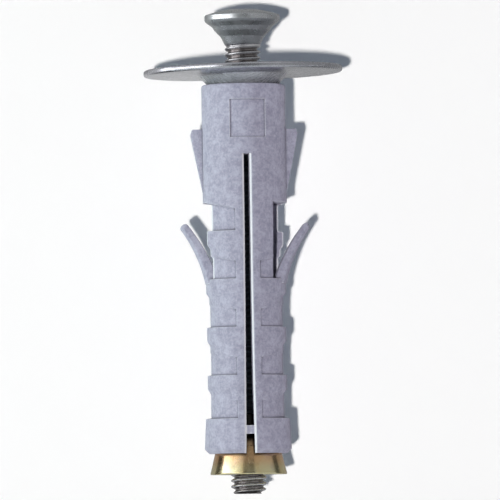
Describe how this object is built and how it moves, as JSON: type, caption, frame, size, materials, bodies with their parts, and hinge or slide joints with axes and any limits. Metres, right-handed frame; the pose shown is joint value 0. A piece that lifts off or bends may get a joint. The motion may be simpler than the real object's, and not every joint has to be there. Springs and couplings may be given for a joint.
{
  "type": "frame anchor with cone nut",
  "caption": "Slotted nylon frame anchor with toothed legs, fold-out barbs, cross-recess screw, large dimpled washer and a cone nut that spreads the legs when tightened.",
  "frame": {"origin": "centre of the open mouth of the sleeve, where the sleeve meets the wall's surface", "axes": "+Z along the screw, out of the wall towards the head; -Y is the front with the plain panel and one slot; +X to the right of the front"},
  "size_m": [0.0332, 0.0332, 0.0809],
  "materials": {
    "bright_zinc": "bright zinc plate",
    "washer_zinc": "bright zinc plate, rolled sheet",
    "yellow_zinc": "yellow chromate over zinc",
    "nylon": "moulded, fine matte texture"
  },
  "bodies": {
    "sleeve": {"sleeve_collar": "nylon"},
    "screw": {"screw": "bright_zinc"},
    "cone_nut": {"cone_nut": "yellow_zinc"},
    "washer": {"washer": "washer_zinc"},
    "leg_left": {"leg_left": "nylon"},
    "leg_right": {"leg_right": "nylon"},
    "barb_left": {"barb_left": "nylon"},
    "barb_right": {"barb_right": "nylon"}
  },
  "joints": [
    {"name": "screw_turn", "type": "hinge", "parent": "sleeve", "child": "screw", "pos_m": [0, 0, 0], "axis": [0, 0, -1], "range_deg": [0, 1260]},
    {"name": "cone_draw", "type": "slide", "parent": "sleeve", "child": "cone_nut", "axis": [0, 0, 1], "range_m": [0, 0.0035]},
    {"name": "leg_left_spread", "type": "hinge", "parent": "sleeve", "child": "leg_left", "pos_m": [-0.007, 0, -0.01975], "axis": [0, 1, 0], "range_deg": [0, 1.62]},
    {"name": "leg_right_spread", "type": "hinge", "parent": "sleeve", "child": "leg_right", "pos_m": [0.007, 0, -0.01975], "axis": [0, -1, 0], "range_deg": [0, 1.62]},
    {"name": "washer_lift", "type": "slide", "parent": "sleeve", "child": "washer", "axis": [0, 0, 1], "range_m": [0, 0.0083]},
    {"name": "barb_left_fold", "type": "hinge", "parent": "leg_left", "child": "barb_left", "pos_m": [-0.00495, 0, -0.0329], "axis": [0, 1, 0], "range_deg": [0, 20], "stiffness_Nm_per_rad": 0.004},
    {"name": "barb_right_fold", "type": "hinge", "parent": "leg_right", "child": "barb_right", "pos_m": [0.00495, 0, -0.0329], "axis": [0, -1, 0], "range_deg": [0, 20], "stiffness_Nm_per_rad": 0.004}
  ],
  "couplings": [
    {"joint": "cone_draw", "follows": "screw_turn", "m_per_rad": 0.00015915},
    {"joint": "leg_left_spread", "follows": "screw_turn", "ratio": 0.0012857},
    {"joint": "leg_right_spread", "follows": "screw_turn", "ratio": 0.0012857}
  ]
}
